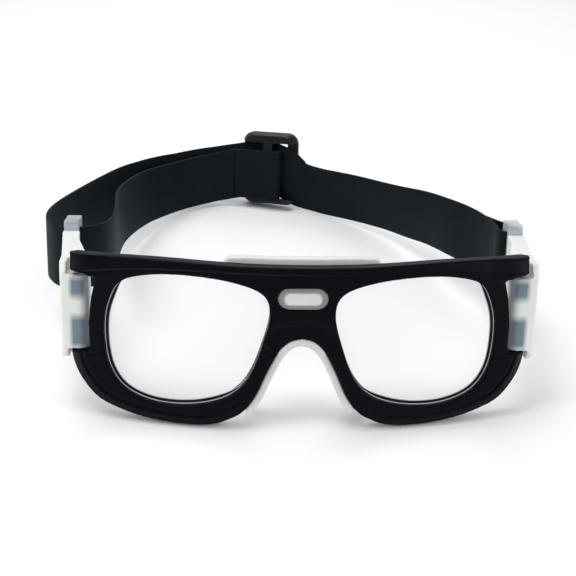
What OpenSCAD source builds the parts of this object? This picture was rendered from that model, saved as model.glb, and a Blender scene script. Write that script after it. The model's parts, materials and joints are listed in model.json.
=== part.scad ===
// Sports protective goggles: one-piece wrap frame, two lenses, soft nose and brow pads,
// two hinged rubbery side arms, and an elastic head strap with a three-bar slider.
//
// Everything is drawn in goggle coordinates: X to the wearer's left, Y from the front of the
// bridge towards the back of the head, Z up from the lowest point of the rims. The module
// place() then leans the goggles back until the rims and the slider stand on one level
// surface, and puts the origin where the nose touches the pad.

/* [Frame] */
// Width over the hinge lugs
frame_w = 145; // [141:1:149]
// Height from the bottom of the rims to the top of the brow bar
frame_h = 53.8; // [52.8:0.2:55.2]
// Radius of the wrap that the front follows
wrap_r = 240; // [225:5:260]
// Thickness of the frame from front to back
frame_t = 6; // [5.4:0.1:6.4]

/* [Lenses] */
// Thickness of a lens
lens_t = 2.2; // [1.8:0.1:2.6]
// Depth of the groove that holds a lens
groove_d = 1.2; // [0.8:0.1:1.6]

/* [Arms] */
// Diameter of a hinge pin
pin_d = 2; // [1.6:0.1:2.4]
// Radial clearance of the pin in the hinge leaf
pin_gap = 0.05; // [0.02:0.01:0.08]
// Clearance between an arm and the lugs above and below it
lug_gap = 0.4; // [0.3:0.1:0.6]
// Thickness of an arm at its back end
arm_end_t = 5.8; // [5.4:0.1:6.4]

/* [Strap] */
// Width of the elastic webbing
strap_w = 22.5; // [20:0.5:23]
// Thickness of the webbing
strap_t = 1.2; // [1:0.1:1.4]
// Radius of the strap where it passes the back of the head
back_r = 97.5; // [96:0.5:99]
// Length of the slider along the strap
slider_l = 26; // [24:0.5:28]
// Height of the slider
slider_h = 33.5; // [32.5:0.5:35.5]

/* [Hidden] */
$fn = 64;

// Nominal size that the outlines below are drawn at
nominal_w = 145;
nominal_h = 53.8;
fx = frame_w / nominal_w;
fz = frame_h / nominal_h;

// Curved outlines, as points that a smooth curve passes through
opening_pts = [[36.5, 49.5], [48.5, 48.9], [57, 45.9], [61.2, 38], [62.2, 28.5], [60.6, 18],
               [55.5, 10.8], [46, 7], [34, 6.8], [23.5, 9.8], [17, 16.2], [12.6, 27],
               [10.2, 37.5], [12.6, 44.2], [22.5, 47.9]];
brow_pts = [[0, 52.5], [18, 52.7], [32, 53.3], [46, 53.8], [60, 53.8], [72.8, 53.8]];
lower_pts = [[72.9, 22.4], [72.4, 19.2], [69.8, 13.4], [64, 6.6], [55, 2.7], [45, 0.7], [35, 0],
             [27.5, 0.5], [22.5, 2.4], [18.4, 5.2], [14.4, 10.8], [10.8, 19], [7.5, 25.2],
             [3.9, 28.7], [0, 29.8]];
notch_pts = [[66.9, 22.6], [67, 32], [66, 40.5], [64.4, 46.6], [68, 48], [72.5, 48.8]];

// Hinge
pin_x = frame_w / 2 - 2;
pin_y = 14.5;
pin_lo = 17;
pin_hi = 52;
lug_lo = 22.4 * fz;
lug_hi = 48.8 * fz;
lug_r = 2.75;
lug_floor = 5;
arm_lo = lug_lo + lug_gap;
arm_hi = 47.4 * fz - lug_gap;
flange_lo = 19;
flange_hi = 51;
pin_r = pin_d / 2;

// Strap ring at the back of an arm, at its own place
ring_x = pin_x + 7.5;
ring_z = 40.3;
ring_h = 29;
ring_front = 45;
ring_back = 63;
slot_front = 56;
slot_back = 60;
slot_h = strap_w + 1;
arm_end_y = 53;
arm_end_half = 11.2;

// Strap seen from above
arc_x = -38;
arc_y = 94.5;
slider_a = 19.5;
slider_z = 50.5;
rail_h = 4;
foot_h = 2.5;
rail_gap = 0.25;
slider_lo = slider_z - slider_h / 2;
strap_z = slider_lo + foot_h + rail_gap + strap_w / 2;
outer_bar_r = back_r + 0.9;
outer_bar_t = 2.2;
centre_bar_r = back_r - 4.3;
centre_bar_t = 2;

// Lean of the goggles on a level surface, from the rims to the bottom of the slider
slider_y = arc_y + (outer_bar_r + outer_bar_t) * cos(slider_a - turn_of(slider_l / 2, back_r));
rim_y = frame_t + 2.6;
lean = atan(slider_lo / (slider_y - rim_y));

// Point where the nose touches the pad, which is the origin
nose_y = 8;
nose_z = 26.5;

// Middle height of the slot in the bridge
plug_z = 42.9 * fz;

// Stitches
stitch_step = 2.2;
stitch_l = 1.2;
stitch_w = 0.9;

frame_black = [0.06, 0.06, 0.08];
thread = [0.05, 0.06, 0.08];
strap_navy = [0.09, 0.11, 0.15];
milky = [0.9, 0.9, 0.86, 0.9];
clear = [0.85, 0.88, 0.92, 0.4];

// ---- Curves ----

// A point of the smooth curve between b and c, with a and d as its neighbours
function curve_pt(a, b, c, d, t) =
    0.5 * (2 * b + (c - a) * t + (2 * a - 5 * b + 4 * c - d) * t * t
           + (3 * b - a - 3 * c + d) * t * t * t);

// Closed smooth curve through the points, with n steps between two of them
function closed_curve(p, n) =
    let (k = len(p))
    [for (i = [0 : k - 1], j = [0 : n - 1])
        curve_pt(p[(i + k - 1) % k], p[i], p[(i + 1) % k], p[(i + 2) % k], j / n)];

// Open smooth curve through the points
function open_curve(p, n) =
    let (k = len(p))
    concat([for (i = [0 : k - 2], j = [0 : n - 1])
        curve_pt(p[max(i - 1, 0)], p[i], p[i + 1], p[min(i + 2, k - 1)], j / n)],
        [p[k - 1]]);

// Angle that a length takes up on a circle
function turn_of(length, r) = length / r * 180 / PI;

// Unit normal of a path at point i
function side_of(p, i) =
    let (d = p[min(i + 1, len(p) - 1)] - p[max(i - 1, 0)])
    [-d[1], d[0]] / norm(d);

// Points of a closed outline, each moved out by a distance
function grown(p, by) =
    let (k = len(p))
    [for (i = [0 : k - 1])
        let (d = p[(i + 1) % k] - p[(i + k - 1) % k])
        p[i] + [-d[1], d[0]] / norm(d) * by];

function reversed(p) = [for (i = [len(p) - 1 : -1 : 0]) p[i]];
function sized(p) = [for (q = p) [q[0] * fx, q[1] * fz]];
function widened(p) = [for (q = p) [q[0] * fx, q[1]]];
function arc_pt(r, a) = [arc_x * fx + r * sin(a), arc_y + r * cos(a)];
function arc_path(r, a0, a1, step) =
    let (n = ceil(abs(a1 - a0) / step))
    [for (i = [0 : n]) arc_pt(r, a0 + (a1 - a0) * i / n)];

opening = sized(closed_curve(opening_pts, 5));

// ---- Placing ----

module place() {
    rotate([-lean, 0, 0]) translate([0, -nose_y, -nose_z]) children();
}

// Draws the wearer's left side as it is, and the right side mirrored
module on_side(left) {
    mirror([left ? 0 : 1, 0, 0]) children();
}

// Turns a front elevation into a solid from y0 to y1
module from_front(y0, y1) {
    translate([0, y1, 0]) rotate([90, 0, 0]) linear_extrude(y1 - y0) children();
}

// Turns a plan into a solid from z0 to z1
module from_above(z0, z1) {
    translate([0, 0, z0]) linear_extrude(z1 - z0) children();
}

// Part of the wrap between two depths behind the front face
module wrap_shell(depth0, depth1) {
    translate([0, wrap_r, -5])
    difference() {
        cylinder(r = wrap_r - depth0, h = frame_h + 15, $fn = 360);
        translate([0, 0, -1]) cylinder(r = wrap_r - depth1, h = frame_h + 17, $fn = 360);
    }
}

// Webbing of one width along a path seen from above
module ribbon(path, z, t = strap_t) {
    from_above(z - strap_w / 2, z + strap_w / 2)
    polygon(concat(
        [for (i = [0 : len(path) - 1]) path[i] + side_of(path, i) * t / 2],
        reversed([for (i = [0 : len(path) - 1]) path[i] - side_of(path, i) * t / 2])));
}

// Box seen from above, turned to follow the back arc at an angle
module arc_box(r0, r1, along, z0, z1, a) {
    translate([arc_x * fx, arc_y, 0]) rotate([0, 0, -a])
    translate([-along / 2, r0, z0]) cube([along, r1 - r0, z1 - z0]);
}

// ---- Front ----

module half_outline() {
    polygon(sized(concat(
        open_curve(brow_pts, 4),
        reversed(notch_pts),
        open_curve(lower_pts, 4))));
}

module frame_outline() {
    half_outline();
    mirror([1, 0]) half_outline();
}

module lug_plan() {
    translate([pin_x, pin_y]) circle(r = lug_r, $fn = 48);
    polygon([[56 * fx, 7], [pin_x + lug_r, 9.5], [pin_x + lug_r, pin_y],
             [pin_x - 0.5, pin_y + lug_r - 0.1], [66 * fx, 15.8], [60 * fx, 13.6],
             [56 * fx, 12]]);
}

module lugs() {
    intersection() {
        from_front(0, 30) half_outline();
        union() {
            from_above(lug_hi - 1.5, frame_h) lug_plan();
            from_above(lug_floor, lug_lo) lug_plan();
        }
    }
}

module bridge_slot(grow, y0, y1) {
    slot_r = 3.4 + grow;
    slot_half = 4.5;
    from_front(y0, y1)
    translate([0, plug_z])
    union() {
        translate([-slot_half, 0]) circle(r = slot_r);
        translate([slot_half, 0]) circle(r = slot_r);
        square([2 * slot_half, 2 * slot_r], center = true);
    }
}

module front_frame() {
    color(frame_black)
    place()
    difference() {
        union() {
            intersection() {
                from_front(-1, 30) frame_outline();
                wrap_shell(0, frame_t);
            }
            for (left = [true, false]) on_side(left) lugs();
        }
        for (left = [true, false]) on_side(left) {
            from_front(-5, 30) polygon(opening);
            intersection() {
                from_front(-5, 30) polygon(grown(opening, groove_d + 0.05));
                wrap_shell(1.95, 2.05 + lens_t);
            }
            // Room for the arm to fold in behind the rim
            translate([63.5 * fx, pin_y - 1.3, lug_lo]) cube([20, 20, lug_hi - lug_lo - 1]);
            translate([pin_x, pin_y, pin_lo]) cylinder(r = pin_r, h = pin_hi - pin_lo);
            // The back outer corner of the lugs, which the folding arm passes
            translate([pin_x + 1, pin_y + 1.8, 0]) cube([10, 10, frame_h + 1]);
        }
        bridge_slot(0.1, -5, 30);
    }
}

module lens() {
    color(clear)
    intersection() {
        from_front(-5, 30) polygon(grown(opening, groove_d));
        wrap_shell(2, 2 + lens_t);
    }
}

module lens_left() { place() on_side(true) lens(); }
module lens_right() { place() on_side(false) lens(); }

// Edge of the nose arch, from one side to the other, moved in by a distance
arch_half = open_curve([[0, 29.8], [3.9, 28.7], [7.5, 25.2], [10.8, 19], [14.4, 10.8],
                        [17.6, 6.2]], 4);
arch = sized(concat(reversed([for (p = arch_half) [-p[0], p[1]]]),
                    [for (i = [1 : len(arch_half) - 1]) arch_half[i]]));

module arch_band(out, in) {
    polygon(concat([for (i = [0 : len(arch) - 1]) arch[i] + side_of(arch, i) * out],
        reversed([for (i = [0 : len(arch) - 1]) arch[i] - side_of(arch, i) * in])));
}

module nose_pad() {
    back_y = frame_t + 0.9;
    pad_in = 2.4;
    wing_y = 10;
    wing_end = 15;
    tongue_t = 1.6;
    color(milky)
    place()
    union() {
        // Bead under the frame edge, and the wings behind it that lie on the nose
        from_front(1, back_y + 0.5) arch_band(-0.1, pad_in);
        from_front(back_y, wing_y) arch_band(1.8, pad_in);
        from_front(wing_y, wing_end) arch_band(2.6, pad_in / 2);
        // Tongue behind the bridge, with the plug that locks it in the bridge slot
        from_front(back_y, back_y + tongue_t) translate([-5, 29 * fz]) square([10, 16]);
        bridge_slot(0, 0.7, back_y + tongue_t);
        from_front(0.1, 2) translate([0, plug_z]) square([11.4, 3.8], center = true);
    }
}

module brow_pad() {
    pad_half = 24.5;
    pad_r = 3.6;
    pad_z = 50.8;
    end_x = pad_half - 3;
    color(milky)
    place()
    intersection() {
        wrap_shell(frame_t + 0.05, frame_t + 4);
        from_front(0, 30)
        union() {
            translate([-end_x, pad_z - pad_r]) square([2 * end_x, 2 * pad_r]);
            for (x = [-end_x, end_x]) translate([x, pad_z]) circle(r = pad_r);
        }
    }
}

module hinge_pin() {
    color("silver")
    translate([pin_x, pin_y, pin_lo]) cylinder(r = pin_r, h = pin_hi - pin_lo);
}

module hinge_pin_left() { place() on_side(true) hinge_pin(); }
module hinge_pin_right() { place() on_side(false) hinge_pin(); }

// ---- Arms, drawn for the wearer's left ----

leaf_lo = 27;
leaf_hi = 46;

// Two knuckles round the pin, joined by a blade that runs back into the arm
module leaf_body() {
    knuckle = [4.4, 5.2];
    upper_z = 39.6;
    upper_h = 6.8;
    lower_z = arm_lo + 0.6;
    lower_h = 9.6;
    blade_y = pin_y + 2;
    blade_end = pin_y + 20;
    blade_t = 1.6;
    blade_out = 3;
    for (k = [[upper_z, upper_h], [lower_z, lower_h]])
        translate([pin_x - knuckle[0] / 2, pin_y - knuckle[1] / 2, k[0]])
            cube([knuckle[0], knuckle[1], k[1]]);
    from_above(leaf_lo, leaf_hi)
    polygon([[pin_x - blade_t / 2, blade_y], [pin_x + blade_t / 2, blade_y],
             [pin_x + blade_out + blade_t / 2, blade_end],
             [pin_x + blade_out - blade_t / 2, blade_end]]);
}

module pin_bore(gap) {
    translate([pin_x, pin_y, 0]) cylinder(r = pin_r + gap, h = frame_h + 5);
}

module hinge_leaf() {
    color([0.3, 0.34, 0.38])
    difference() {
        leaf_body();
        pin_bore(pin_gap);
    }
}

module hinge_leaf_left() { place() on_side(true) hinge_leaf(); }
module hinge_leaf_right() { place() on_side(false) hinge_leaf(); }

module ring_tongue() {
    tongue_t = 2;
    tongue_h = 14;
    translate([ring_x - tongue_t / 2, ring_front, ring_z - tongue_h / 2])
        cube([tongue_t, arm_end_y - ring_front, tongue_h]);
}

module arm_sides() {
    // Outline of the arm seen from the side, without the part between the lugs
    polygon([[pin_y - 3, flange_lo + 3], [pin_y, flange_lo], [pin_y + 7, flange_lo],
             [arm_end_y, ring_z - arm_end_half], [arm_end_y, ring_z + arm_end_half],
             [pin_y + 9, flange_hi], [pin_y, flange_hi], [pin_y - 3, flange_hi - 3]]);
}

module arm() {
    half = arm_end_t / 2;
    color(milky)
    difference() {
        union() {
            // Hub between the lugs
            from_above(arm_lo, arm_hi)
            union() {
                translate([pin_x, pin_y]) circle(r = 3.5, $fn = 48);
                polygon([[pin_x, pin_y - 3.5], [pin_x + 5.2, pin_y - 3], [pin_x + 5.2, pin_y + 12],
                         [pin_x - 3, pin_y + 12], [pin_x - 3, pin_y]]);
            }
            // Outer flange and the body that runs back to the ring
            intersection() {
                translate([pin_x - 20, 0, 0]) rotate([90, 0, 90]) linear_extrude(60) arm_sides();
                from_above(0, 70)
                polygon([[pin_x + 3.4, pin_y - 3], [pin_x + 4.8, pin_y - 3],
                         [pin_x + 5.6, pin_y - 1.5], [pin_x + 6.2, pin_y + 8],
                         [ring_x + half, arm_end_y], [ring_x - half, arm_end_y],
                         [pin_x - 2.4, pin_y + 12], [pin_x - 2.4, pin_y + 9],
                         [pin_x + 3.4, pin_y + 4]]);
            }
        }
        leaf_body();
        pin_bore(0.3);
        ring_tongue();
    }
}

module arm_left() { place() on_side(true) arm(); }
module arm_right() { place() on_side(false) arm(); }

module strap_ring() {
    ring_t = 5;
    color(clear)
    union() {
        ring_tongue();
        difference() {
            translate([ring_x - ring_t / 2, arm_end_y, ring_z - ring_h / 2])
                cube([ring_t, ring_back - arm_end_y, ring_h]);
            translate([ring_x - ring_t, slot_front, ring_z - slot_h / 2])
                cube([2 * ring_t, slot_back - slot_front, slot_h]);
        }
    }
}

module strap_ring_left() { place() on_side(true) strap_ring(); }
module strap_ring_right() { place() on_side(false) strap_ring(); }

// ---- Strap ----

// Sewn end round the left ring: down the inside, through the slot and back outside
end_path = open_curve([[ring_x - 2.4, 76], [ring_x - 3.5, 69], [ring_x - 4, 63],
                       [ring_x - 3.5, 59.8], [ring_x - 2, 58.3], [ring_x, 57.9],
                       [ring_x + 2, 58.3], [ring_x + 3.5, 59.8], [ring_x + 4, 63],
                       [ring_x + 2.8, 69], [ring_x - 0.6, 75]], 5);

module strap_end_left() {
    color(strap_navy) place() ribbon(end_path, ring_z);
}

module strap_stitch_left() {
    seam_y = 72.4;
    color(thread)
    place()
    for (i = [-4 : 4])
        translate([ring_x - 4.1, seam_y, ring_z + i * stitch_step - stitch_l / 2])
            cube([0.5, stitch_w, stitch_l]);
}

// Wide slack loop through the right ring
loop_path = open_curve(widened([[-89.8, 79], [-89.3, 72], [-86.3, 64.5], [-82.4, 60]]), 5);
loop_in = open_curve([[-ring_x - 3.7, 58.4], [-ring_x, 58], [-ring_x + 4, 59.6],
                      [-ring_x + 8.8, 65], [-ring_x + 11, 72], [-ring_x + 11.8, 79]], 5);

module strap_loop_right() {
    color(strap_navy) place() ribbon(concat(loop_path, loop_in), ring_z);
}

// The band runs behind the head, from near one ring to near the other
band_first = open_curve(widened([[-90.1, 83], [-89.3, 98], [-85.6, 120], [-79, 146],
                                 [-71.9, 167], [-64.6, 180.5], [-56.4, 188.5]]), 5);
band_last = open_curve(concat([arc_pt(back_r, 58)],
                              widened([[58.4, 122], [65.4, 104], [69.4, 94], [72.6, 84]])), 4);

// Angles where the true arc of the band begins and ends
arc_from = -6;
arc_to = 57;

// Plan of the webbing along a path that runs on inside the arc, a little thinner there
module joined_plan(path) {
    thin = 0.97;
    half = [for (i = [0 : len(path) - 1]) strap_t / 2 * (i < len(path) - 2 ? 1 : thin)];
    polygon(concat([for (i = [0 : len(path) - 1]) path[i] + side_of(path, i) * half[i]],
        reversed([for (i = [0 : len(path) - 1]) path[i] - side_of(path, i) * half[i]])));
}

module strap_band() {
    wedge_r = 2 * back_r;
    color(strap_navy)
    place()
    from_above(strap_z - strap_w / 2, strap_z + strap_w / 2)
    union() {
        joined_plan(concat(band_first,
                           [arc_pt(back_r, arc_from), arc_pt(back_r, arc_from + 2)]));
        joined_plan(concat(reversed(band_last),
                           [arc_pt(back_r, arc_to), arc_pt(back_r, arc_to - 2)]));
        intersection() {
            translate([arc_x * fx, arc_y])
            difference() {
                circle(r = back_r + strap_t / 2, $fn = 128);
                circle(r = back_r - strap_t / 2, $fn = 128);
            }
            polygon([[arc_x * fx, arc_y], arc_pt(wedge_r, arc_from),
                     arc_pt(wedge_r, (arc_from + arc_to) / 2), arc_pt(wedge_r, arc_to)]);
        }
    }
}

// Second layer, from the loop at the right ring back towards the slider
module strap_return() {
    color(strap_navy)
    place()
    ribbon(open_curve(widened([[-66.1, 83], [-66.7, 98], [-68.1, 120], [-65.7, 138],
                               [-59.7, 156], [-54, 166]]), 5),
           strap_z);
}

module slider_outline() {
    corner_r = 5;
    half_l = slider_l / 2 - corner_r;
    half_h = slider_h / 2 - corner_r;
    translate([0, slider_z])
    union() {
        square([slider_l, 2 * half_h], center = true);
        square([2 * half_l, slider_h], center = true);
        for (x = [-half_l, half_l], z = [-half_h, half_h]) {
            translate([x, z]) circle(r = corner_r, $fn = 32);
        }
    }
}

// Two rails, two side bars behind the webbing and a centre bar in front of it
module strap_slider() {
    bar_w = 5;
    window_h = slider_h - rail_h - foot_h;
    window_z = slider_lo + foot_h;
    front_r = centre_bar_r;
    back_face_r = outer_bar_r + outer_bar_t;
    color([0.07, 0.07, 0.08])
    place()
    translate([arc_x * fx, arc_y, 0]) rotate([0, 0, -slider_a])
    union() {
        difference() {
            from_front(front_r, back_face_r) slider_outline();
            translate([-slider_l, front_r - 1, window_z])
                cube([2 * slider_l, outer_bar_r - front_r + 1, window_h]);
            translate([bar_w - slider_l / 2, front_r - 1, window_z])
                cube([slider_l - 2 * bar_w, back_face_r - front_r + 2, window_h]);
        }
        translate([-bar_w / 2, front_r, window_z - 1])
            cube([bar_w, centre_bar_t, window_h + 2]);
    }
}

// Free end of the webbing, folded round the centre bar and sewn to itself
module strap_tail() {
    t = strap_t;
    bar_half = 2.55;
    r_in = centre_bar_r - 0.05 - t / 2;
    r_out = centre_bar_r + centre_bar_t + 0.15 + t / 2;
    turn = turn_of(1, centre_bar_r);
    a_bar = slider_a + (bar_half + 0.6) * turn;
    color(strap_navy)
    place()
    ribbon(concat(
        arc_path(r_in, -3, slider_a - 12, 4),
        arc_path(r_in, slider_a - 10, a_bar + 0.3, 3),
        [arc_pt((r_in + r_out) / 2, a_bar + 1.2)],
        [arc_pt(r_out, a_bar + 0.3)],
        [arc_pt(r_out, slider_a - (bar_half + 0.8) * turn)],
        [arc_pt(r_in + t + 0.1, slider_a - (bar_half + 4) * turn)],
        [arc_pt(r_in + t + 0.1, slider_a - (bar_half + 12) * turn)]), strap_z);
}

module tail_stitch() {
    r_in = centre_bar_r - 0.05 - strap_t;
    seam_a = slider_a - 8.2;
    color(thread)
    place()
    for (z = [for (i = [-4 : 4]) strap_z + i * stitch_step])
        arc_box(r_in - 0.4, r_in - 0.06, stitch_w, z - stitch_l / 2, z + stitch_l / 2, seam_a);
}

front_frame();
lens_left();
lens_right();
nose_pad();
brow_pad();
hinge_pin_left();
hinge_pin_right();
arm_left();
arm_right();
hinge_leaf_left();
hinge_leaf_right();
strap_ring_left();
strap_ring_right();
strap_end_left();
strap_stitch_left();
strap_loop_right();
strap_band();
strap_return();
strap_slider();
strap_tail();
tail_stitch();
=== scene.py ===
"""Sports protective goggles: the looks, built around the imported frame."""
import json
import math

import bmesh
import bpy
import numpy as np
from mathutils import Matrix, Vector

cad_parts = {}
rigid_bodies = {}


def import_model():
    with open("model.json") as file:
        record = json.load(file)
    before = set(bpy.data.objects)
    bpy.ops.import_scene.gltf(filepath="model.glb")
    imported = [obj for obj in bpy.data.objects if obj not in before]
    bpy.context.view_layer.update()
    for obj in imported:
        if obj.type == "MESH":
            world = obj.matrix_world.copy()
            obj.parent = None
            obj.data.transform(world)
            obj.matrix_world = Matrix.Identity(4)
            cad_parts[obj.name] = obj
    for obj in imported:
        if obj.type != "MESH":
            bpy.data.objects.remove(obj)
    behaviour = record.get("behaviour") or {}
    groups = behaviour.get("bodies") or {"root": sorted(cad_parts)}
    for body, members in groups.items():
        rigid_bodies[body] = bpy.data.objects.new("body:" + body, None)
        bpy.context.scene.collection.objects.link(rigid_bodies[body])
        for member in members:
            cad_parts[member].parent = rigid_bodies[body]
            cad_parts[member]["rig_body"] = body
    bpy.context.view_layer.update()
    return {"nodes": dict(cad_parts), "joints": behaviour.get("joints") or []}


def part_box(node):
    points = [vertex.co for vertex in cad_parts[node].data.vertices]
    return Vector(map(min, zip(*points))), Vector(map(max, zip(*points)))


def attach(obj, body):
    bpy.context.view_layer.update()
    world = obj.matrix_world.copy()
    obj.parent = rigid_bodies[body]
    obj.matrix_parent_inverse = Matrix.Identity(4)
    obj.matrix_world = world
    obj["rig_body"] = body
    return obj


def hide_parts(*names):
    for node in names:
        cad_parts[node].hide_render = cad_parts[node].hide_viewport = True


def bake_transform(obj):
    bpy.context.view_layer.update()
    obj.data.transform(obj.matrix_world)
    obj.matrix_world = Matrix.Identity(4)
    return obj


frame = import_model()
MM = 0.001

# ---------------------------------------------------------------- goggle coordinates
# Shapes below are in millimetres, in the goggles' own upright axes, as in the part's source:
# X to the wearer's left, Y back from the front of the bridge, Z up from the rims' lowest point.
# The frame leans them back about the nose point, by the slope of the hinge axis.
HINGES = {j["name"]: j for j in frame["joints"]}
_, AXIS_Y, AXIS_Z = HINGES["left_arm_hinge"]["axis"]
LEAN = math.atan2(AXIS_Y, AXIS_Z)
NOSE_Y, NOSE_Z = 8.0, 26.5
PIN_X = HINGES["left_arm_hinge"]["pos_m"][0] / MM
FLOOR_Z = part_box("front_frame")[0].z
FLOOR_HALF = 3.0
PLUG_Z = 42.9


def to_frame(points):
    """Goggle millimetres to the row frame in metres."""
    p = np.asarray(points, float)
    y, z = p[..., 1] - NOSE_Y, p[..., 2] - NOSE_Z
    c, s = math.cos(LEAN), math.sin(LEAN)
    return np.stack([p[..., 0], y * c + z * s, z * c - y * s], axis=-1) * MM


def to_goggle(points):
    """Row frame in metres to goggle millimetres."""
    p = np.asarray(points, float) / MM
    c, s = math.cos(LEAN), math.sin(LEAN)
    return np.stack([p[..., 0], p[..., 1] * c - p[..., 2] * s + NOSE_Y,
                     p[..., 1] * s + p[..., 2] * c + NOSE_Z], axis=-1)


def smoothstep(e0, e1, x):
    t = np.clip((np.asarray(x, float) - e0) / (e1 - e0), 0, 1)
    return t * t * (3 - 2 * t)


def curve(points, steps, closed=False):
    """Smooth curve through the points, with a number of steps between two of them."""
    p = np.asarray(points, float)
    k = len(p)
    spans = k if closed else k - 1
    out = []
    for i in range(spans):
        if closed:
            a, b, c, d = p[i - 1], p[i], p[(i + 1) % k], p[(i + 2) % k]
        else:
            a, b, c, d = p[max(i - 1, 0)], p[i], p[i + 1], p[min(i + 2, k - 1)]
        for t in np.arange(steps) / steps:
            out.append(0.5 * (2 * b + (c - a) * t + (2 * a - 5 * b + 4 * c - d) * t * t
                              + (3 * b - a - 3 * c + d) * t ** 3))
    if not closed:
        out.append(p[-1])
    return np.array(out)


def evenly(points, step):
    """The path resampled at even distances."""
    p = np.asarray(points, float)
    run = np.concatenate([[0], np.cumsum(np.linalg.norm(np.diff(p[:, :3], axis=0), axis=1))])
    n = max(2, int(round(run[-1] / step)) + 1)
    at = np.linspace(0, run[-1], n)
    return np.stack([np.interp(at, run, p[:, i]) for i in range(p.shape[1])], axis=1)


def add_mesh(name, verts, faces, uvs=None, smooth=True):
    me = bpy.data.meshes.new(name)
    me.from_pydata([tuple(v) for v in verts], [], [tuple(f) for f in faces])
    me.validate()
    if uvs is not None:
        layer = me.uv_layers.new(name="strip")
        loops = np.zeros(len(me.loops), np.int32)
        me.loops.foreach_get("vertex_index", loops)
        layer.data.foreach_set("uv", np.asarray(uvs, np.float32)[loops].ravel())
    me.polygons.foreach_set("use_smooth", [smooth] * len(me.polygons))
    me.update()
    o = bpy.data.objects.new(name, me)
    bpy.context.scene.collection.objects.link(o)
    return o


def outward(o):
    bm = bmesh.new()
    bm.from_mesh(o.data)
    bmesh.ops.recalc_face_normals(bm, faces=bm.faces)
    bm.to_mesh(o.data)
    bm.free()
    return o


# ---------------------------------------------------------------- camera, floor and light
VIEW_YAW, VIEW_PITCH, VIEW_ROLL = (math.radians(a) for a in (2.78, 16.14, 1.25))
VIEW_POINT = np.array([-4.84, 0.0, 46.7])
VIEW_DISTANCE = 337.8
FOCAL_MM = 69.15


def make_camera():
    cy, sy = math.cos(VIEW_YAW), math.sin(VIEW_YAW)
    cp, sp = math.cos(VIEW_PITCH), math.sin(VIEW_PITCH)
    ahead = np.array([sy * cp, cy * cp, -sp])
    right = np.array([cy, -sy, 0.0])
    spot = VIEW_POINT - ahead * VIEW_DISTANCE
    here, there, side = (Vector(v) for v in to_frame([spot, spot + ahead, spot + right]))
    d, r = (there - here).normalized(), (side - here).normalized()
    r = Matrix.Rotation(-VIEW_ROLL, 3, d) @ r
    u = r.cross(d)
    pose = Matrix(((r.x, u.x, -d.x, here.x),
                   (r.y, u.y, -d.y, here.y),
                   (r.z, u.z, -d.z, here.z),
                   (0, 0, 0, 1)))
    data = bpy.data.cameras.new("camera")
    data.lens, data.sensor_width = FOCAL_MM, 36.0
    data.clip_start, data.clip_end = 0.01, 50
    cam = bpy.data.objects.new("camera", data)
    cam.matrix_world = pose
    bpy.context.scene.collection.objects.link(cam)
    bpy.context.scene.camera = cam


def area_light(name, spot, target, size, power, colour=(1, 1, 1)):
    data = bpy.data.lights.new(name, "AREA")
    data.shape, data.size, data.energy, data.color = "DISK", size, power, colour
    o = bpy.data.objects.new(name, data)
    o.location = spot
    o.rotation_euler = (Vector(target) - Vector(spot)).to_track_quat("-Z", "Y").to_euler()
    bpy.context.scene.collection.objects.link(o)


def new_material(name):
    m = bpy.data.materials.new(name)
    m.use_nodes = True
    t = m.node_tree
    t.nodes.clear()
    out = t.nodes.new("ShaderNodeOutputMaterial")
    return m, t, out


def make_studio():
    s = FLOOR_HALF
    corners = [(-s, -s, FLOOR_Z), (s, -s, FLOOR_Z), (s, s, FLOOR_Z), (-s, s, FLOOR_Z)]
    floor = add_mesh("floor", corners, [(0, 1, 2, 3)], smooth=False)
    m, t, out = new_material("floor_paper")
    b = t.nodes.new("ShaderNodeBsdfPrincipled")
    b.inputs["Base Color"].default_value = (0.93, 0.935, 0.945, 1)
    b.inputs["Roughness"].default_value = 0.9
    b.inputs["Specular IOR Level"].default_value = 0.1
    t.links.new(b.outputs[0], out.inputs[0])
    floor.data.materials.append(m)
    world = bpy.data.worlds.new("studio")
    world.use_nodes = True
    back = world.node_tree.nodes["Background"]
    back.inputs[0].default_value = (0.95, 0.97, 1.0, 1)
    back.inputs[1].default_value = 0.42
    bpy.context.scene.world = world
    area_light("key", (-0.25, 0.12, 0.8), (0, 0.06, 0), 0.7, 4.3, (1, 0.995, 0.98))
    area_light("fill", (0.5, -0.5, 0.6), (0, 0.05, 0), 0.6, 0.8)
    area_light("rim", (0.1, 0.8, 0.6), (0, 0.05, 0), 0.6, 2.0)
    for side in (-1, 1):
        area_light("side", (0.7 * side, -0.25, 0.28), (0, 0.03, 0), 0.3, 1.5)
    bpy.context.scene.view_settings.view_transform = "Standard"


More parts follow.
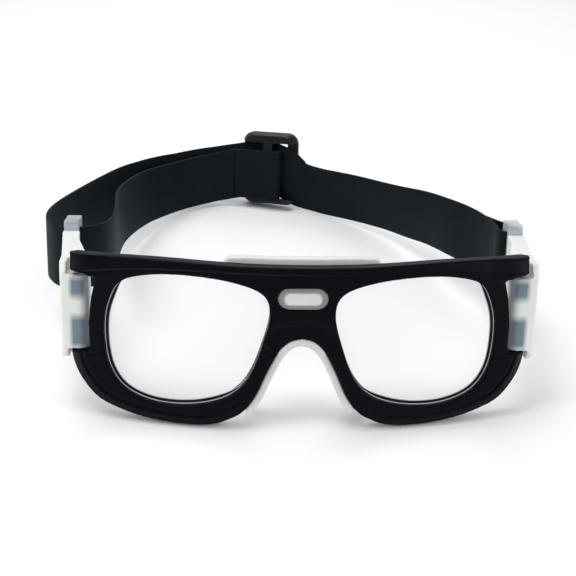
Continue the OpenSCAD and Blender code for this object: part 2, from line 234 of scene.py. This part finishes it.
# ---------------------------------------------------------------- materials
class Nodes:
    """Short names for building a node material."""

    def __init__(self, name):
        self.mat, self.t, self.out = new_material(name)

    def add(self, kind, **values):
        n = self.t.nodes.new(kind)
        for k, v in values.items():
            setattr(n, k, v)
        return n

    def link(self, a, b):
        self.t.links.new(a, b)

    def coords(self, uv=False):
        if uv:
            n = self.add("ShaderNodeUVMap", uv_map="strip")
            return n.outputs[0]
        return self.add("ShaderNodeTexCoord").outputs["Object"]

    def noise(self, vec, scale, detail=3.0):
        n = self.add("ShaderNodeTexNoise")
        n.inputs["Scale"].default_value = scale
        n.inputs["Detail"].default_value = detail
        self.link(vec, n.inputs["Vector"])
        return n.outputs["Fac"]

    def ramp(self, fac, stops):
        n = self.add("ShaderNodeValToRGB")
        e = n.color_ramp.elements
        e[0].position, e[0].color = stops[0][0], stops[0][1]
        e[1].position, e[1].color = stops[-1][0], stops[-1][1]
        for pos, col in stops[1:-1]:
            x = e.new(pos)
            x.color = col
        self.link(fac, n.inputs[0])
        return n.outputs[0]

    def math(self, op, a, b=None, c=None, clamp=False):
        n = self.add("ShaderNodeMath", operation=op, use_clamp=clamp)
        for i, v in enumerate((a, b, c)):
            if v is None:
                continue
            if isinstance(v, (int, float)):
                n.inputs[i].default_value = v
            else:
                self.link(v, n.inputs[i])
        return n.outputs[0]

    def mapped(self, fac, lo, hi, from_lo=0.0, from_hi=1.0):
        n = self.add("ShaderNodeMapRange")
        for i, v in enumerate((from_lo, from_hi, lo, hi)):
            n.inputs[i + 1].default_value = v
        self.link(fac, n.inputs[0])
        return n.outputs[0]

    def bump(self, height, strength, distance):
        n = self.add("ShaderNodeBump")
        n.inputs["Strength"].default_value = strength
        n.inputs["Distance"].default_value = distance
        self.link(height, n.inputs["Height"])
        return n.outputs[0]

    def mix(self, fac, a, b):
        n = self.add("ShaderNodeMix", data_type="RGBA")
        self.link(fac, n.inputs[0])
        for i, v in ((6, a), (7, b)):
            if isinstance(v, tuple):
                n.inputs[i].default_value = v
            else:
                self.link(v, n.inputs[i])
        return n.outputs[2]

    def shader(self, colour=None, rough=None, normal=None, **uniform):
        b = self.add("ShaderNodeBsdfPrincipled")
        for k, v in uniform.items():
            b.inputs[k.replace("_", " ")].default_value = v
        for k, v in (("Base Color", colour), ("Roughness", rough)):
            if v is None:
                continue
            if isinstance(v, (tuple, float)):
                b.inputs[k].default_value = v
            else:
                self.link(v, b.inputs[k])
        if normal is not None:
            self.link(normal, b.inputs["Normal"])
        return b

    def goggle_axes(self, vec):
        """Left, up and back in the goggles' own axes, in metres from the nose point."""
        sep = self.add("ShaderNodeSeparateXYZ")
        self.link(vec, sep.inputs[0])
        x, y, z = sep.outputs
        c, s = math.cos(LEAN), math.sin(LEAN)
        up = self.math("ADD", self.math("MULTIPLY", y, s), self.math("MULTIPLY", z, c))
        back = self.math("SUBTRACT", self.math("MULTIPLY", y, c), self.math("MULTIPLY", z, s))
        return x, up, back

    def milky(self, vec, tints):
        """The clouds in milky rubber, and its colour."""
        cloud = self.noise(vec, 45, 4)
        return cloud, self.mix(self.mapped(cloud, 0, 1, 0.3, 0.7), *tints)

    def rubber(self, vec, cloud, colour, rough, glow, reach, specular):
        """Soft rubber, in which light spreads over the given reach in metres."""
        grain = self.noise(vec, 1500, 2)
        return self.shader(colour, self.mapped(cloud, *rough), self.bump(grain, 0.12, 0.00005),
                           Subsurface_Weight=glow, Subsurface_Radius=reach,
                           Subsurface_Scale=1.0, Specular_IOR_Level=specular)

    def done(self, shader):
        self.link(shader.outputs[0], self.out.inputs[0])
        return self.mat


def frame_material():
    n = Nodes("frame_black")
    v = n.coords()
    soft = n.noise(v, 60, 3)
    grain = n.noise(v, 2600, 2)
    colour = n.ramp(soft, [(0.3, (0.0009, 0.0010, 0.0019, 1)), (0.7, (0.0016, 0.0018, 0.0032, 1))])
    rough = n.mapped(soft, 0.36, 0.46)
    return n.done(n.shader(colour, rough, n.bump(grain, 0.18, 0.00004),
                           Specular_IOR_Level=0.085, Specular_Tint=(0.8, 0.85, 1.0, 1)))


def slider_material():
    n = Nodes("slider_black")
    v = n.coords()
    soft = n.noise(v, 120, 3)
    grain = n.noise(v, 3000, 2)
    colour = n.ramp(soft, [(0.3, (0.003, 0.003, 0.0035, 1)), (0.7, (0.0055, 0.0055, 0.0065, 1))])
    return n.done(n.shader(colour, n.mapped(soft, 0.38, 0.5), n.bump(grain, 0.2, 0.00004),
                           Specular_IOR_Level=0.25))


PAD_TINTS = ((0.70, 0.71, 0.675, 1), (0.62, 0.635, 0.605, 1))
PAD_REACH = (0.003, 0.003, 0.0028)
ARM_TINTS = ((0.80, 0.81, 0.765, 1), (0.72, 0.735, 0.70, 1))
ARM_REACH = (0.002, 0.002, 0.0019)


def pad_material():
    n = Nodes("pad_milky")
    v = n.coords()
    cloud, colour = n.milky(v, PAD_TINTS)
    return n.done(n.rubber(v, cloud, colour, (0.36, 0.5), 0.35, PAD_REACH, 0.45))


def nose_material():
    """Milky silicone; in the frame's slot it is greyer round the raised plug."""
    n = Nodes("nose_milky")
    v = n.coords()
    x, up, back = n.goggle_axes(v)
    high = n.math("ABSOLUTE", n.math("SUBTRACT", up, (PLUG_Z - NOSE_Z) * MM))
    wide = n.math("ABSOLUTE", x)
    in_slot = n.math("MULTIPLY", n.mapped(high, 1, 0, 3.6 * MM, 4.4 * MM),
                     n.mapped(back, 1, 0, (3 - NOSE_Y) * MM, (4 - NOSE_Y) * MM))
    beyond = n.math("MAXIMUM", n.math("SUBTRACT", wide, 3.9 * MM), 0.0)
    off = n.math("SQRT", n.math("ADD", n.math("POWER", beyond, 2.0), n.math("POWER", high, 2.0)))
    plug = n.mapped(off, 1, 0, 1.6 * MM, 2.3 * MM)
    round_plug = n.math("MULTIPLY", in_slot, n.math("SUBTRACT", 1.0, plug))
    cloud, milky = n.milky(v, PAD_TINTS)
    colour = n.mix(round_plug, milky, (0.27, 0.28, 0.275, 1))
    return n.done(n.rubber(v, cloud, colour, (0.3, 0.42), 0.25, PAD_REACH, 0.45))


def arm_material(name, side):
    """Milky rubber with the grey hinge leaf showing dimly through it as two windows."""
    n = Nodes(name)
    v = n.coords()
    x, up, back = n.goggle_axes(v)
    wobble = n.math("MULTIPLY", n.math("SUBTRACT", n.noise(v, 300, 2), 0.5), 0.0012)
    height = n.math("ADD", up, wobble)

    def window(lo, hi, soft=0.0013):
        a = n.mapped(height, 0, 1, (lo - NOSE_Z) * MM - soft, (lo - NOSE_Z) * MM + soft)
        b = n.mapped(height, 1, 0, (hi - NOSE_Z) * MM - soft, (hi - NOSE_Z) * MM + soft)
        return n.math("MULTIPLY", a, b)

    shown = n.math("MAXIMUM", window(40.0, 46.3), window(23.6, 33.6))
    outward_x = n.math("MULTIPLY", x, side)
    outer = n.mapped(outward_x, 1, 0, (PIN_X + 1.5) * MM, (PIN_X + 3.0) * MM)
    inner = n.mapped(outward_x, 0, 1, (PIN_X - 3.1) * MM, (PIN_X - 1.8) * MM)
    front = n.mapped(back, 1, 0, (18.5 - NOSE_Y) * MM, (23 - NOSE_Y) * MM)
    leaf = n.math("MULTIPLY", n.math("MULTIPLY", shown, n.math("MULTIPLY", outer, inner)), front)
    cloud, milky = n.milky(v, ARM_TINTS)
    colour = n.mix(leaf, milky, (0.155, 0.21, 0.25, 1))
    return n.done(n.rubber(v, cloud, colour, (0.34, 0.48), 0.22, ARM_REACH, 0.5))


def ring_material():
    n = Nodes("ring_clear")
    v = n.coords()
    cloud = n.noise(v, 90, 3)
    colour = n.mix(n.mapped(cloud, 0, 1, 0.3, 0.7), (0.70, 0.73, 0.77, 1), (0.52, 0.56, 0.61, 1))
    b = n.shader(colour, n.mapped(cloud, 0.12, 0.2), Specular_IOR_Level=0.6, Alpha=0.6)
    return n.done(b)


def lens_material():
    n = Nodes("lens_clear")
    v = n.coords()
    haze = n.noise(v, 25, 3)
    b = n.shader(n.ramp(haze, [(0.3, (0.93, 0.95, 0.96, 1)), (0.7, (0.88, 0.91, 0.93, 1))]),
                 n.mapped(haze, 0.03, 0.07), Specular_IOR_Level=0.6, Alpha=0.10)
    return n.done(b)


def lens_edge_highlight_material():
    """The lens's edge lines, painted light grey as the highlight its polished edge catches."""
    n = Nodes("lens_edge_painted_highlight")
    shine = n.noise(n.coords(), 110, 3)
    colour = n.ramp(shine, [(0.3, (0.42, 0.44, 0.47, 1)), (0.7, (0.72, 0.74, 0.77, 1))])
    return n.done(n.shader(colour, n.mapped(shine, 0.12, 0.25), Specular_IOR_Level=0.6))


def lens_groove_shade_material():
    """Painted shade: the groove wall in shade, seen between the lines of the lens edge, painted
    near black.
    """
    n = Nodes("lens_groove_painted_shade")
    dim = n.noise(n.coords(), 160, 3)
    colour = n.ramp(dim, [(0.3, (0.004, 0.004, 0.006, 1)), (0.7, (0.010, 0.010, 0.014, 1))])
    return n.done(n.shader(colour, n.mapped(dim, 0.35, 0.5), Specular_IOR_Level=0.2))


def steel_material():
    n = Nodes("pin_steel")
    v = n.coords()
    turned = n.noise(v, 900, 2)
    return n.done(n.shader((0.55, 0.55, 0.56, 1), n.mapped(turned, 0.25, 0.4),
                           n.bump(turned, 0.1, 0.00003), Metallic=1.0))


def leaf_material():
    n = Nodes("leaf_grey")
    v = n.coords()
    soft = n.noise(v, 200, 3)
    colour = n.ramp(soft, [(0.3, (0.05, 0.065, 0.085, 1)), (0.7, (0.075, 0.09, 0.11, 1))])
    return n.done(n.shader(colour, n.mapped(soft, 0.4, 0.55), n.bump(soft, 0.1, 0.0001)))


def webbing_material():
    """Elastic webbing: fine lengthwise ribs crossed by the weft, dark navy, with the raised threads
    and soft patches painted lighter as highlight and sheen.
    """
    n = Nodes("webbing_navy")
    uv = n.coords(uv=True)
    sep = n.add("ShaderNodeSeparateXYZ")
    n.link(uv, sep.inputs[0])
    across, along = sep.outputs[0], sep.outputs[1]
    rib_pitch, pick_pitch = 0.00125, 0.00075
    turn = 2 * math.pi
    rib = n.math("SINE", n.math("MULTIPLY", across, turn / rib_pitch))
    shift = n.math("MULTIPLY", n.math("FLOOR", n.math("MULTIPLY", across, 1 / rib_pitch)), math.pi)
    pick = n.math("SINE", n.math("ADD", n.math("MULTIPLY", along, turn / pick_pitch), shift))
    rib_h = n.math("ABSOLUTE", rib)
    pick_h = n.math("MULTIPLY", n.math("ADD", pick, 1.0), 0.5)
    pick_part = n.math("ADD", n.math("MULTIPLY", pick_h, 0.45), 0.55)
    weave = n.math("MULTIPLY", n.math("POWER", rib_h, 0.6), pick_part)
    fuzz = n.noise(n.coords(), 1800, 3)
    sheen_patches = n.noise(n.coords(), 35, 3)
    # painted highlight and sheen: the raised weave and the soft patches are coloured lighter, for
    # the light they catch
    lit = n.math("ADD", n.math("MULTIPLY", weave, 0.75), n.math("MULTIPLY", sheen_patches, 0.35),
                 clamp=True)
    colour = n.ramp(lit, [(0.1, (0.0018, 0.0026, 0.0036, 1)), (0.6, (0.0052, 0.0078, 0.0108, 1)),
                          (1.0, (0.0115, 0.0172, 0.0235, 1))])
    height = n.math("ADD", weave, n.math("MULTIPLY", fuzz, 0.25))
    normal = n.bump(height, 0.55, 0.00016)
    b = n.shader(colour, n.mapped(weave, 0.68, 0.5), normal, Specular_IOR_Level=0.06,
                 Sheen_Weight=0.05, Sheen_Roughness=0.4, Sheen_Tint=(0.45, 0.65, 0.85, 1))
    return n.done(b)


def thread_material():
    # painted shade: the thread is coloured darker than the webbing, for the shade of the stitched
    # groove as well as the thread's own dark tone
    n = Nodes("thread_dark")
    v = n.coords()
    ply = n.noise(v, 1600, 2)
    colour = n.ramp(ply, [(0.3, (0.0012, 0.0015, 0.0024, 1)), (0.7, (0.003, 0.0038, 0.0055, 1))])
    return n.done(n.shader(colour, n.mapped(ply, 0.6, 0.75), n.bump(ply, 0.3, 0.0001),
                           Specular_IOR_Level=0.05))


# ---------------------------------------------------------------- moulded pieces
def moulded(node, name, voxel, smoothing, shape, material):
    """A new piece with the CAD node's shape, its edges rounded as moulding rounds them.
    voxel is in millimetres, and shape, if any, moves the points in goggle millimetres."""
    bm = bmesh.new()
    bm.from_mesh(frame["nodes"][node].data)
    bmesh.ops.remove_doubles(bm, verts=bm.verts, dist=1e-6)
    me = bpy.data.meshes.new(name)
    bm.to_mesh(me)
    bm.free()
    me.materials.clear()
    o = bpy.data.objects.new(name, me)
    bpy.context.scene.collection.objects.link(o)
    r = o.modifiers.new("remesh", "REMESH")
    r.mode, r.voxel_size, r.use_smooth_shade = "VOXEL", voxel * MM, True
    s = o.modifiers.new("smooth", "SMOOTH")
    s.factor, s.iterations = 0.5, smoothing
    baked = bpy.data.meshes.new_from_object(o.evaluated_get(bpy.context.evaluated_depsgraph_get()))
    o.modifiers.clear()
    o.data = baked
    o.data.name = name
    if shape is not None:
        co = np.zeros(len(baked.vertices) * 3, np.float32)
        baked.vertices.foreach_get("co", co)
        moved = to_frame(shape(to_goggle(co.reshape(-1, 3))))
        baked.vertices.foreach_set("co", moved.astype(np.float32).ravel())
        baked.update()
    baked.materials.clear()
    baked.materials.append(material)
    baked.polygons.foreach_set("use_smooth", [True] * len(baked.polygons))
    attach(o, frame["nodes"][node]["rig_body"])
    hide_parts(node)
    return o


WRAP_R = 240.0
LOWER_EDGE = [(72.9, 22.4), (72.4, 19.2), (69.8, 13.4), (64, 6.6), (55, 2.7), (45, 0.7), (35, 0),
              (27.5, 0.5), (22.5, 2.4), (18.4, 5.2)]


def wrap_y(x):
    """Depth of the front's wrapped face at x."""
    return WRAP_R - np.sqrt(WRAP_R ** 2 - np.clip(x, -200, 200) ** 2)


def shape_front(p):
    """The moulded relief of the frame's front: brow crease, lower ridge and dished bridge."""
    q = p.copy()
    x, y, z = np.abs(p[:, 0]), p[:, 1], p[:, 2]
    depth = y - wrap_y(x)
    skin = 1 - smoothstep(1.0, 3.5, depth)
    push = np.zeros(len(p))
    # the brow leans back above a fine crease
    line = np.interp(x, [0, 12, 30, 45, 58, 66, 73], [50.2, 50.2, 50.7, 50.7, 49.8, 48.9, 48.5])
    push += 0.5 * np.clip(z - line, 0, 4) + 0.3 * smoothstep(0, 0.6, z - line)
    # dished panel over the nose arch
    dish = np.clip(1 - ((x / 13.5) ** 2 + ((z - 29.5) / 6.6) ** 2), 0, 1)
    push += 1.2 * smoothstep(0, 0.4, dish)
    # the lugs roll back towards their outer side
    push += 2.4 * (1 - np.sqrt(1 - (np.clip(x - 66, 0, 6.8) / 7.2) ** 2))
    # the lower rim falls away below a groove that follows its edge
    rim = curve(LOWER_EDGE, 8)
    away = np.full(len(p), 99.0)
    for spot in rim:
        away = np.minimum(away, np.hypot(x - spot[0], z - spot[1]))
    low = smoothstep(15, 24, x) * smoothstep(26, 20, z)
    push += low * (1.2 * smoothstep(3.2, 0, away) + 0.4 * np.exp(-((away - 3.7) / 0.5) ** 2))
    q[:, 1] += push * skin
    return q


def shape_arm(p):
    """The arm's inner side, which runs closer to the outer side behind the hinge."""
    q = p.copy()
    x, y = np.abs(p[:, 0]), p[:, 1]
    middle = np.interp(y, [26, 53], [72.5, 78])
    inner = smoothstep(0.5, -1.5, x - middle)
    along = smoothstep(21, 28, y) * smoothstep(54, 42, y)
    q[:, 0] += np.sign(p[:, 0]) * 1.5 * inner * along
    return q


def shape_slider(p):
    """The slider's rails, rounded off towards the wearer."""
    q = p.copy()
    x, y, z = p[:, 0] - BACK_X, p[:, 1] - BACK_Y, p[:, 2]
    radius, angle = np.hypot(x, y), np.arctan2(x, y)
    inward = smoothstep(2.0, 6.5, BACK_R + 3.1 - radius)
    turned = BAR_TURN + (angle - BAR_TURN) * (1 - 0.14 * inward)
    q[:, 0] = BACK_X + radius * np.sin(turned)
    q[:, 1] = BACK_Y + radius * np.cos(turned)
    middle = (z.min() + z.max()) / 2
    rounding = 0.7 * smoothstep(10, 16, z - middle) - 1.1 * smoothstep(10, 16, middle - z)
    q[:, 2] = z - rounding * inward
    return q


# ---------------------------------------------------------------- lenses
OPENING = [(36.5, 49.5), (48.5, 48.9), (57, 45.9), (61.2, 38), (62.2, 28.5), (60.6, 18),
           (55.5, 10.8), (46, 7), (34, 6.8), (23.5, 9.8), (17, 16.2), (12.6, 27),
           (10.2, 37.5), (12.6, 44.2), (22.5, 47.9)]


SHARES = (0, 0.3, 0.6, 0.85, 1)
LENS_FRONT, LENS_BACK = 2.05, 4.16
RIDGE = 1.9
GROOVE_REACH, LENS_BEVEL = 1.15, 0.18
CLEAR, EDGE_HIGHLIGHT, GROOVE_SHADE = 0, 1, 2
# fine lines inside the rim, painted highlight and painted shade: distance in from it, depth, and
# material of the band up to there
EDGE_LINES = [(1.65, RIDGE, EDGE_HIGHLIGHT), (1.45, RIDGE, EDGE_HIGHLIGHT), (1.4, LENS_FRONT, GROOVE_SHADE),
              (0.46, LENS_FRONT, GROOVE_SHADE), (0.42, RIDGE, EDGE_HIGHLIGHT), (0.2, RIDGE, EDGE_HIGHLIGHT),
              (0, LENS_FRONT, GROOVE_SHADE)]


def lens_rings():
    """Rings of the lens from the middle of its front to the middle of its back: the outline,
    its depth behind the wrapped face and the material of the band that leads to it."""
    rim = curve(OPENING, 8, closed=True)
    d = np.roll(rim, -1, 0) - np.roll(rim, 1, 0)
    normal = np.stack([-d[:, 1], d[:, 0]], 1) / np.linalg.norm(d, axis=1)[:, None]
    # the painted highlight and shade lines are wide on the lower and outer sides only
    facing = normal @ np.array([0.72, -0.69])
    shown = 0.06 + 0.94 * smoothstep(-0.35, 0.45, facing)[:, None]
    centre = rim.mean(0)
    inner = rim - normal * 1.75 * shown
    edge = rim + normal * GROOVE_REACH
    bevel = edge - normal * LENS_BEVEL
    rings = [(centre + (inner - centre) * share, LENS_FRONT, CLEAR) for share in SHARES]
    rings += [(rim - normal * off * shown, depth, band) for off, depth, band in EDGE_LINES]
    rings += [(bevel, LENS_FRONT, CLEAR), (edge, LENS_FRONT + 0.15, CLEAR),
              (edge, LENS_BACK - LENS_BEVEL, CLEAR), (bevel, LENS_BACK, CLEAR)]
    rings += [(centre + (inner - centre) * share, LENS_BACK, CLEAR) for share in SHARES[::-1]]
    return rings


def build_lens(name, side, materials):
    """Curved lens with fine lines inside the rim: painted highlights of its polished edge, with
    painted shade between them.
    """
    rings = lens_rings()
    n = len(rings[0][0])
    verts = []
    for k, (flat, depth, _) in enumerate(rings):
        pts = flat[:1] if k in (0, len(rings) - 1) else flat
        verts.append(np.column_stack([pts[:, 0], wrap_y(pts[:, 0]) + depth, pts[:, 1]]))
    starts = np.cumsum([0] + [len(v) for v in verts])
    faces, slots = [], []
    for k in range(len(rings) - 1):
        a, b = starts[k], starts[k + 1]
        for i in range(n):
            j = (i + 1) % n
            if k == 0:
                faces.append((a, b + i, b + j))
            elif k == len(rings) - 2:
                faces.append((a + i, b, a + j))
            else:
                faces.append((a + i, b + i, b + j, a + j))
            slots.append(rings[k + 1][2])
    v = np.vstack(verts)
    v[:, 0] *= side
    o = outward(add_mesh(name, to_frame(v), faces))
    for m in materials:
        o.data.materials.append(m)
    o.data.polygons.foreach_set("material_index", slots)
    return o


# ---------------------------------------------------------------- webbing
WEB_W, WEB_T = 22.5, 1.2
SELVEDGE = 0.8 * WEB_T / 2
BACK_X, BACK_Y, BACK_R = -38.0, 94.5, 97.5
BAR_A = 19.5
BAR_TURN = math.radians(BAR_A)


def arc_row(r, degrees, z, lean=0.0):
    """A row on the strap's back curve, turned from straight back towards the left."""
    a = math.radians(degrees)
    return BACK_X + r * math.sin(a), BACK_Y + r * math.cos(a), z, lean


def web_profile():
    """The points round the webbing's cross-section: distance across it, and out from its middle."""
    half, t = WEB_W / 2, WEB_T / 2
    across = np.linspace(-half + SELVEDGE, half - SELVEDGE, 15)
    top = [(u, t * (1 - 0.05 * (u / half) ** 2)) for u in across]
    turns = (math.radians(a) for a in (55, 18, -18, -55))
    end = [(half - SELVEDGE + SELVEDGE * math.cos(a), t * 0.95 * math.sin(a)) for a in turns]
    bottom = [(u, -v) for u, v in reversed(top)]
    other = [(-u, -v) for u, v in end]
    return np.array(top + end + bottom + other)


def ribbon(name, rows, material, step=1.2, end_cap=False, lead=0, trail=0):
    """Webbing along rows of (x, y, z, lean): a swept band with rounded selvedges.
    lean tips its upper edge to the left of the way it runs, in degrees. The first lead rows
    and the last trail rows only steer the curve, so that two pieces meet in line."""
    per = 10
    path = curve(rows, per)
    path = np.column_stack([path, np.gradient(path[:, :3], axis=0)])
    path = evenly(path[lead * per:len(path) - trail * per], step)
    pts, lean, tangent = path[:, :3], np.radians(path[:, 3]), path[:, 4:7]
    tangent = tangent / np.linalg.norm(tangent, axis=1)[:, None]
    up = np.array([0, 0, 1.0])
    left = np.cross(up, tangent)
    left /= np.linalg.norm(left, axis=1)[:, None]
    rise = np.cross(tangent, left)
    width = rise * np.cos(lean)[:, None] + left * np.sin(lean)[:, None]
    face = np.cross(width, tangent)
    run = np.concatenate([[0], np.cumsum(np.linalg.norm(np.diff(pts, axis=0), axis=1))])
    profile = web_profile()
    n, m = len(profile), len(pts)
    verts, uvs = [], []
    for i in range(m):
        verts.append(pts[i] + np.outer(profile[:, 0], width[i]) + np.outer(profile[:, 1], face[i]))
        uvs.append(np.column_stack([profile[:, 0] * MM, np.full(n, run[i] * MM)]))
    faces = [(i * n + j, i * n + (j + 1) % n, (i + 1) * n + (j + 1) % n, (i + 1) * n + j)
             for i in range(m - 1) for j in range(n)]
    if end_cap:
        faces.append(tuple((m - 1) * n + j for j in reversed(range(n))))
    o = outward(add_mesh(name, to_frame(np.vstack(verts)), faces, np.vstack(uvs)))
    o.data.materials.append(material)
    return o


STITCH_STEP, STITCHES = 2.05, 10
STITCH_LENGTH, THREAD_R = 1.9, 0.26
STITCH_RISE = (np.arange(STITCHES) - (STITCHES - 1) / 2) * STITCH_STEP
TAIL_SEAM_A = BAR_A - 9.4


def stitches(name, spots, along, out, material):
    """A row of sewn stitches: short threads that dip into the webbing at both ends."""
    verts, faces = [], []
    rings, sides = 9, 8
    along, out = np.asarray(along, float), np.asarray(out, float)
    side = np.cross(along, out)
    for s in np.asarray(spots, float):
        base = len(verts)
        for i in range(rings):
            t = i / (rings - 1) * 2 - 1
            lift = 0.04 - 0.42 * t ** 4
            r = THREAD_R * (1 - 0.25 * t * t)
            mid = s + along * (t * STITCH_LENGTH / 2) + out * lift
            for j in range(sides):
                a = 2 * math.pi * j / sides
                verts.append(mid + side * (r * math.cos(a)) + out * (r * math.sin(a)))
        for i in range(rings - 1):
            for j in range(sides):
                a, b = base + i * sides + j, base + i * sides + (j + 1) % sides
                faces.append((a, b, b + sides, a + sides))
        faces.append(tuple(base + j for j in range(sides)))
        faces.append(tuple(base + (rings - 1) * sides + j for j in reversed(range(sides))))
    o = outward(add_mesh(name, to_frame(np.array(verts)), faces))
    o.data.materials.append(material)
    return o


# ---------------------------------------------------------------- the strap's run
# One run of webbing: from the inner layer behind the slider, out to the right ring, round it
# in a slack loop, back along the outer layer and through the slider, and on round the head to
# the left ring, where it is sewn. Each row is x, y, z and lean.
TO_SLIDER = [(-47.7, 175.5, 43.7, -4), (-54.5, 165.5, 43.3, -8)]
INNER = [(-60.8, 153.5, 42.8, -9), (-65.7, 138, 42, -8), (-68.1, 120, 41.4, -5),
         (-67.2, 98, 40.9, 0), (-66.2, 84, 40.6, 0)]
LOOP = [(-66.4, 74, 40.4, 0), (-68.6, 65.5, 40.3, 0), (-73, 60.2, 40.3, 0), (-78, 58.2, 40.3, 0),
        (-82.4, 59.4, 40.3, 0), (-86.2, 64, 40.7, 0), (-89.2, 71.5, 41.3, 0)]
OUTER = [(-90, 82, 41.6, 0), (-89.3, 98, 41.3, 0), (-85.6, 120, 41.2, 1), (-79, 146, 41.8, 2),
         (-71.9, 167, 42.6, 3), (-64.6, 180.5, 43.2, 2), (-56.4, 188.5, 44.2, 0)]
BAND_HEIGHTS = [(-6, 45.2), (0, 47.2), (6, 48.9), (11, 50.4), (16, 51.8), (20, 51.6), (23, 49.9),
                (25.3, 47.3), (27.3, 45.1), (29.5, 43.9), (32, 43.2), (36, 42.4), (42, 42.0),
                (47, 41.8), (52, 41.6), (57, 41.5)]
BAND = [arc_row(BACK_R, a, z, -12 * float(smoothstep(22, 32, a))) for a, z in BAND_HEIGHTS]
SIDE = [(50.8, 136, 41.5, -8), (58.4, 122, 42, -3), (65.4, 104, 42, 2), (69.6, 94, 41.5, 3),
        (72.6, 85, 41, 1)]
AT_RING = [(74.3, 76, 40.5, 0), (74.5, 69, 40.3, 0), (74, 63, 40.3, 0), (74.5, 59.8, 40.3, 0),
           (76, 58.3, 40.3, 0), (78, 57.9, 40.3, 0), (80, 58.3, 40.3, 0), (81.5, 59.8, 40.3, 0),
           (82, 63, 40.3, 0), (80.8, 69, 40.3, 0), (76.6, 77.5, 40.3, 0), (74.2, 84.5, 40.4, 1)]
SEWN = SIDE + AT_RING
# the outer layer is cut where the slider begins to carry it, and again inside the slider
CUT = 5

# The inner layer goes on to the slider's middle bar, round it, and back a little way.
BAR_R0, BAR_R1 = BACK_R - 4.3, BACK_R - 2.3
TAIL_Z, TAIL_R = 48.3, BAR_R0 - 0.66
TO_BAR = [(-40.5, 181.8, 44.6, 3), (-32.5, 185.5, 45.9, 1), arc_row(TAIL_R, 8, 47.3),
          arc_row(TAIL_R, 11, TAIL_Z), arc_row(TAIL_R, 14, TAIL_Z), arc_row(TAIL_R, 18, TAIL_Z)]
# the fold: radius, and millimetres along the curve past the bar's middle
TAIL_FOLD = [(TAIL_R, 3.4), (BAR_R0 - 0.2, 4.9), (BAR_R0 + 1.1, 5.4), (BAR_R1 + 0.4, 4.7),
             (BAR_R1 + 0.8, 3.3), (BAR_R1 + 0.8, -3.3), (BAR_R1 - 0.3, -6), (BAR_R0 + 0.66, -9),
             (BAR_R0 + 0.64, -17)]
PER_MM = math.degrees(1 / BAR_R0)
TAIL = [(x, y, z, -lean) for x, y, z, lean in (TO_SLIDER + INNER[:3])[::-1]] + TO_BAR
TAIL += [arc_row(r, BAR_A + off * PER_MM, TAIL_Z) for r, off in TAIL_FOLD]


def at(x, y, z):
    """A point in goggle millimetres as the frame has it."""
    return tuple(to_frame((x, y, z)))


def build_strap(webbing):
    """The webbing in pieces that meet in line."""
    main = ribbon("strap_main", TO_SLIDER + INNER + LOOP + OUTER + BAND[:3], webbing, lead=2,
                  trail=2)
    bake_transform(main)
    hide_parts("strap_loop_right", "strap_band")
    behind = ribbon("strap_behind_slider", OUTER[-2:] + BAND[:CUT + 3], webbing, lead=2, trail=2)
    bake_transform(behind)
    side_run = ribbon("strap_side", BAND[CUT - 2:] + SIDE, webbing, lead=2, trail=2)
    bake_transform(side_run)
    inner = ribbon("strap_inner", TAIL, webbing, step=0.8, end_cap=True, lead=2)
    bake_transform(inner)
    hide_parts("strap_return", "strap_tail")
    sewn = ribbon("strap_sewn", SEWN, webbing, step=0.8, end_cap=True, lead=2)
    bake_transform(sewn)
    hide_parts("strap_end_left")


def stitch_tail(thread):
    """The row that sews the inner layer's end down, behind the slider's bar."""
    x, y, z, _ = arc_row(TAIL_R - WEB_T / 2, TAIL_SEAM_A, TAIL_Z)
    spots = [(x, y, z + rise) for rise in STITCH_RISE]
    seam = math.radians(TAIL_SEAM_A)
    inward = (-math.sin(seam), -math.cos(seam), 0)
    row = stitches("stitches_tail", spots, (0, 0, 1), inward, thread)
    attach(row, "slider")
    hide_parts("tail_stitch")


def stitch_end(thread):
    """The row across the doubled end at the left ring."""
    middle = curve(SEWN[-3:], 10)[12][:3]
    side = np.array([0.95, 0.31, 0])
    spots = middle + side * WEB_T / 2 + np.outer(STITCH_RISE, (0, 0, 1))
    row = stitches("stitches_end", spots, (0, 0, 1), side, thread)
    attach(row, "left_arm")
    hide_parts("strap_stitch_left")


# ---------------------------------------------------------------- the other pieces
SIDES = ((1, "left"), (-1, "right"))


def build_lenses():
    materials = lens_material(), lens_edge_highlight_material(), lens_groove_shade_material()
    for side, label in SIDES:
        lens = build_lens(f"lens_shield_{label}", side, materials)
        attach(lens, "front")
        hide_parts(f"lens_{label}")


def build_pads():
    nose = moulded("nose_pad", "nose_cushion", 0.3, 6, None, nose_material())
    brow = moulded("brow_pad", "brow_cushion", 0.35, 8, None, pad_material())


def build_arms():
    clear, steel, grey = ring_material(), steel_material(), leaf_material()
    for side, label in SIDES:
        moulded(f"arm_{label}", f"arm_rubber_{label}", 0.34, 6, shape_arm,
                arm_material(f"arm_milky_{label}", side))
        moulded(f"strap_ring_{label}", f"ring_{label}", 0.3, 5, None, clear)
        for node, look in ((f"hinge_pin_{label}", steel), (f"hinge_leaf_{label}", grey)):
            me = frame["nodes"][node].data
            me.materials.clear()
            me.materials.append(look)


# ---------------------------------------------------------------- build
make_camera()
make_studio()
moulded("front_frame", "frame_front", 0.29, 8, shape_front, frame_material())
build_lenses()
build_pads()
build_arms()
build_strap(webbing_material())
thread_look = thread_material()
stitch_tail(thread_look)
stitch_end(thread_look)
moulded("strap_slider", "slider_three_bar", 0.3, 5, shape_slider, slider_material())
